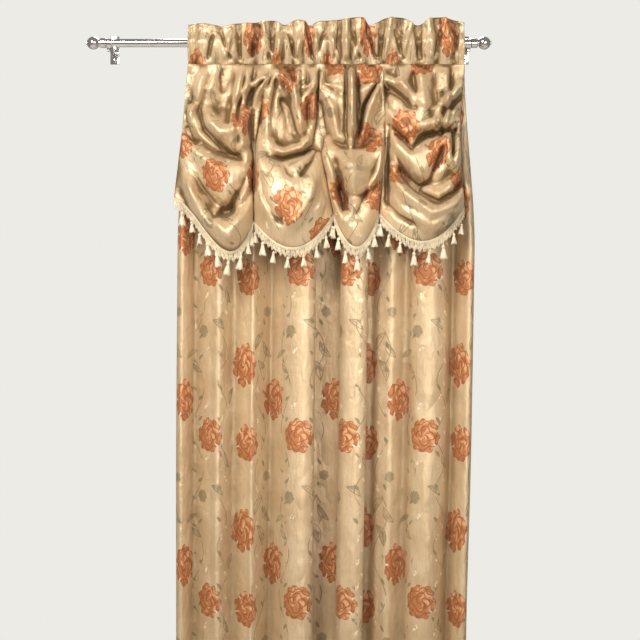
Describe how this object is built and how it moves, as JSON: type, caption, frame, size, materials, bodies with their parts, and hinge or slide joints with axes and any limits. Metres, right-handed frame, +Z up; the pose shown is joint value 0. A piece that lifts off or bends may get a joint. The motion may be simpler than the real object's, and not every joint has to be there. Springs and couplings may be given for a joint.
{
  "type": "rod-pocket curtain panel with attached valance, on a curtain rod",
  "caption": "Gathered satin jacquard curtain panel with a tied-up, tassel-fringed valance, hung by its rod pocket on a metal curtain rod with ball ends.",
  "frame": {"origin": "on the wall behind the rod's right bracket, at the height of the rod's axis: the centre of that bracket's plate", "axes": "+Z up, +Y into the wall, +X to the right as seen from the room; the rod runs along X"},
  "size_m": [0.79, 0.1923, 2.1405],
  "materials": {
    "satin_jacquard": "champagne satin ground with copper and tone-on-tone woven flowers",
    "lace_fringe": "cream lace braid and thread tassels",
    "polished_nickel": "polished nickel"
  },
  "bodies": {
    "root": {"panel": "satin_jacquard", "valance": "satin_jacquard", "fringe": "lace_fringe", "rod": "polished_nickel", "finial_right": "polished_nickel", "bracket_right": "polished_nickel", "clamp_screw_right": "polished_nickel", "finial_left": "polished_nickel", "bracket_left": "polished_nickel", "clamp_screw_left": "polished_nickel"}
  },
  "joints": []
}
